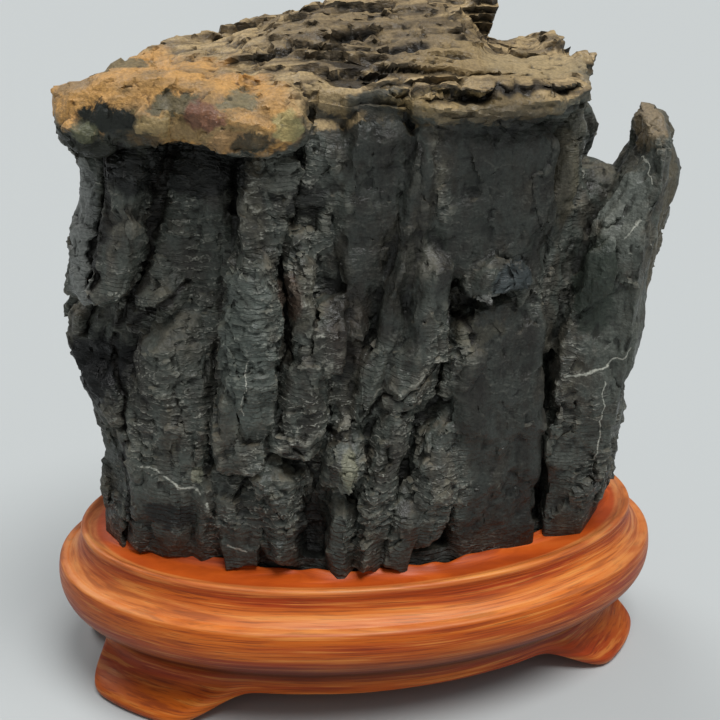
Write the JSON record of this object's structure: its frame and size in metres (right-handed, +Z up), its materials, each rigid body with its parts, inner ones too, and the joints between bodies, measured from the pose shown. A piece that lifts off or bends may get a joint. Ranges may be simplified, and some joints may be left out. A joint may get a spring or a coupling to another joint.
{
  "type": "suseok viewing stone",
  "caption": "Crag of dark upright slate beds with an ochre weathered top and a side spire, standing in the fitted seat of a low carved wooden stand with splayed feet.",
  "frame": {"origin": "on the table, under the middle of the stand", "axes": "+Z up, +X to the right along the stand's length, -Y towards the viewer who faces the stone's front"},
  "size_m": [0.2018, 0.1268, 0.2209],
  "materials": {
    "slate": "rough weathered slate, ochre on top",
    "rosewood": "satin lacquer over straight grain"
  },
  "bodies": {
    "root": {"stone": "slate", "stand": "rosewood"}
  },
  "joints": []
}
